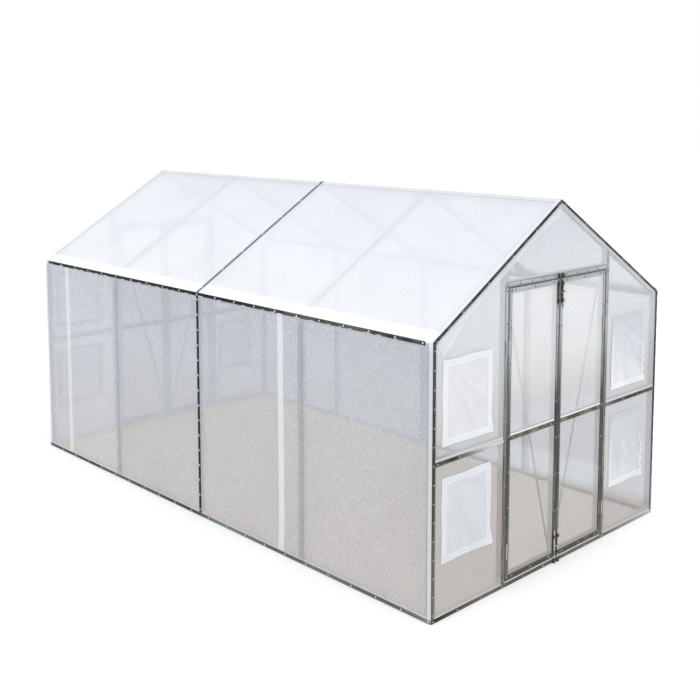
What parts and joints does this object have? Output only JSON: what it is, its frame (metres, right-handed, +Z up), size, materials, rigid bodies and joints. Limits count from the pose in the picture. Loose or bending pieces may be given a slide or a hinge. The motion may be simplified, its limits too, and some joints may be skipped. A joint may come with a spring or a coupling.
{
  "type": "plastic greenhouse",
  "caption": "Walk-in greenhouse with a pitched roof: galvanised frame clad in clear reinforced film, double doors in both gables, net windows.",
  "frame": {"origin": "bottom centre of the bounding box, on the ground in the middle of the house", "axes": "+Y along the ridge from the front gable to the rear gable, +X to the right seen from the front, +Z up"},
  "size_m": [2.178, 4.052, 2.1345],
  "materials": {
    "steel": "galvanised, satin",
    "batten": "weathered zinc, satin",
    "film": "translucent reinforced film",
    "net": "fine white net with a woven hem",
    "fitting": "dark bronze coat, satin"
  },
  "bodies": {
    "root": {"base_rails": "steel", "left_posts": "steel", "right_posts": "steel", "left_rafters": "steel", "right_rafters": "steel", "eave_rails": "steel", "ridge_beam": "steel", "front_gable_frame": "steel", "rear_gable_frame": "steel", "left_wall_film": "film", "right_wall_film": "film", "left_roof_film": "film", "right_roof_film": "film", "front_gable_film": "film", "rear_gable_film": "film", "front_windows": "net", "rear_windows": "net", "left_battens": "batten", "right_battens": "batten", "front_gable_battens": "batten", "rear_gable_battens": "batten", "front_door_fittings": "fitting", "rear_door_fittings": "fitting"},
    "front_left_leaf": {"front_left_leaf_frame": "steel", "front_left_leaf_film": "film", "front_left_leaf_battens": "batten", "front_left_leaf_fittings": "fitting"},
    "front_right_leaf": {"front_right_leaf_frame": "steel", "front_right_leaf_film": "film", "front_right_leaf_battens": "batten", "front_right_leaf_fittings": "fitting"},
    "rear_left_leaf": {"rear_left_leaf_frame": "steel", "rear_left_leaf_film": "film", "rear_left_leaf_battens": "batten", "rear_left_leaf_fittings": "fitting"},
    "rear_right_leaf": {"rear_right_leaf_frame": "steel", "rear_right_leaf_film": "film", "rear_right_leaf_battens": "batten", "rear_right_leaf_fittings": "fitting"},
    "front_left_top_bolt_body": {"front_left_top_rod": "fitting"},
    "front_left_foot_bolt_body": {"front_left_foot_rod": "fitting"},
    "front_right_top_bolt_body": {"front_right_top_rod": "fitting"},
    "front_right_foot_bolt_body": {"front_right_foot_rod": "fitting"},
    "rear_left_top_bolt_body": {"rear_left_top_rod": "fitting"},
    "rear_left_foot_bolt_body": {"rear_left_foot_rod": "fitting"},
    "rear_right_top_bolt_body": {"rear_right_top_rod": "fitting"},
    "rear_right_foot_bolt_body": {"rear_right_foot_rod": "fitting"}
  },
  "joints": [
    {"name": "front_left_door", "type": "hinge", "parent": "root", "child": "front_left_leaf", "pos_m": [-0.4725, -2.009, 0.8], "axis": [0, 0, -1], "range_deg": [0, 165]},
    {"name": "front_left_top_bolt", "type": "slide", "parent": "front_left_leaf", "child": "front_left_top_bolt_body", "axis": [0, 0, 1], "range_m": [0, 0.03]},
    {"name": "front_left_foot_bolt", "type": "slide", "parent": "front_left_leaf", "child": "front_left_foot_bolt_body", "axis": [0, 0, -1], "range_m": [0, 0.03]},
    {"name": "front_right_door", "type": "hinge", "parent": "root", "child": "front_right_leaf", "pos_m": [0.4725, -2.009, 0.8], "axis": [0, 0, 1], "range_deg": [0, 165]},
    {"name": "front_right_top_bolt", "type": "slide", "parent": "front_right_leaf", "child": "front_right_top_bolt_body", "axis": [0, 0, 1], "range_m": [0, 0.03]},
    {"name": "front_right_foot_bolt", "type": "slide", "parent": "front_right_leaf", "child": "front_right_foot_bolt_body", "axis": [0, 0, -1], "range_m": [0, 0.03]},
    {"name": "rear_left_door", "type": "hinge", "parent": "root", "child": "rear_left_leaf", "pos_m": [-0.4725, 2.009, 0.8], "axis": [0, 0, 1], "range_deg": [0, 165]},
    {"name": "rear_left_top_bolt", "type": "slide", "parent": "rear_left_leaf", "child": "rear_left_top_bolt_body", "axis": [0, 0, 1], "range_m": [0, 0.03]},
    {"name": "rear_left_foot_bolt", "type": "slide", "parent": "rear_left_leaf", "child": "rear_left_foot_bolt_body", "axis": [0, 0, -1], "range_m": [0, 0.03]},
    {"name": "rear_right_door", "type": "hinge", "parent": "root", "child": "rear_right_leaf", "pos_m": [0.4725, 2.009, 0.8], "axis": [0, 0, -1], "range_deg": [0, 165]},
    {"name": "rear_right_top_bolt", "type": "slide", "parent": "rear_right_leaf", "child": "rear_right_top_bolt_body", "axis": [0, 0, 1], "range_m": [0, 0.03]},
    {"name": "rear_right_foot_bolt", "type": "slide", "parent": "rear_right_leaf", "child": "rear_right_foot_bolt_body", "axis": [0, 0, -1], "range_m": [0, 0.03]}
  ]
}
